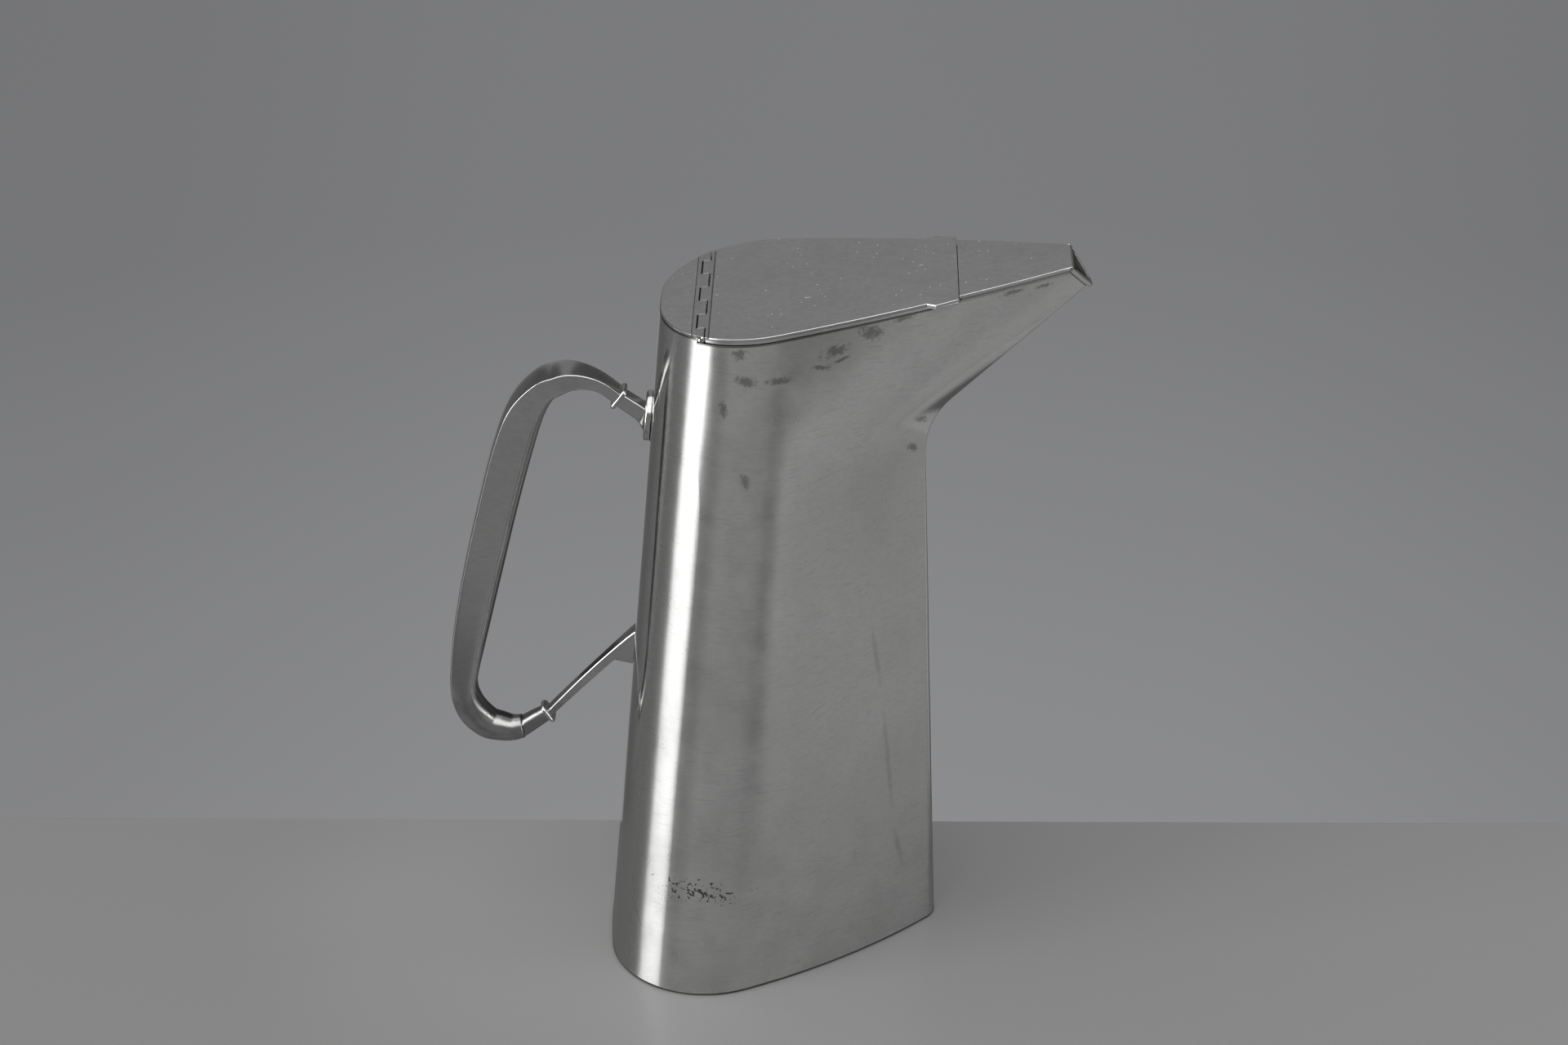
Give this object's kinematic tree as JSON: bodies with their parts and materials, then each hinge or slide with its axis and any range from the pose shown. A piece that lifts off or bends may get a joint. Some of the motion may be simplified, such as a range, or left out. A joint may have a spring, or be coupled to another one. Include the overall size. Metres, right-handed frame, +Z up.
{
  "type": "lidded jug",
  "caption": "Tapered sheet-silver jug with a beak spout, a flush hinged lid with thumb tabs and an angular loop handle on an upper disc and a lower bracket.",
  "frame": {"origin": "middle of the base's length, on the face that rests on the table", "axes": "+X from the handle towards the spout, +Z up, +Y across, y = 0 the mirror plane"},
  "size_m": [0.2223, 0.1114, 0.2656],
  "materials": {
    "satin_silver": "hand-polished silver sheet with fine brushing and light wear",
    "plate_silver": "fine brushed silver sheet",
    "polished_silver": "polished silver",
    "handle_silver": "polished silver with soft wear",
    "hinge_silver": "filed flush silver tube",
    "hinge_pin": "dull darkened wire"
  },
  "bodies": {
    "jug": {"body_shell": "satin_silver", "base_plate": "satin_silver", "rear_plate": "plate_silver", "spout_cover": "plate_silver", "spout_lip": "polished_silver", "hinge_fixed_leaf": "plate_silver", "hinge_fixed_knuckle_1": "hinge_silver", "hinge_fixed_knuckle_2": "hinge_silver", "hinge_fixed_knuckle_3": "hinge_silver", "hinge_fixed_knuckle_4": "hinge_silver", "hinge_pin": "hinge_pin", "handle_upper_disc": "polished_silver", "handle_upper_stub": "satin_silver", "handle_upper_collar": "polished_silver", "handle_grip": "handle_silver", "handle_neck": "handle_silver", "handle_lower_collar": "polished_silver", "handle_lower_bracket": "satin_silver"},
    "lid": {"lid_plate": "plate_silver", "lid_rim": "plate_silver", "hinge_lid_leaf": "plate_silver", "hinge_lid_knuckle_1": "hinge_silver", "hinge_lid_knuckle_2": "hinge_silver", "hinge_lid_knuckle_3": "hinge_silver"}
  },
  "joints": [
    {"name": "lid_hinge", "type": "hinge", "parent": "jug", "child": "lid", "pos_m": [-0.02301, 0, 0.24934], "axis": [0, -1, 0], "range_deg": [0, 115]}
  ]
}
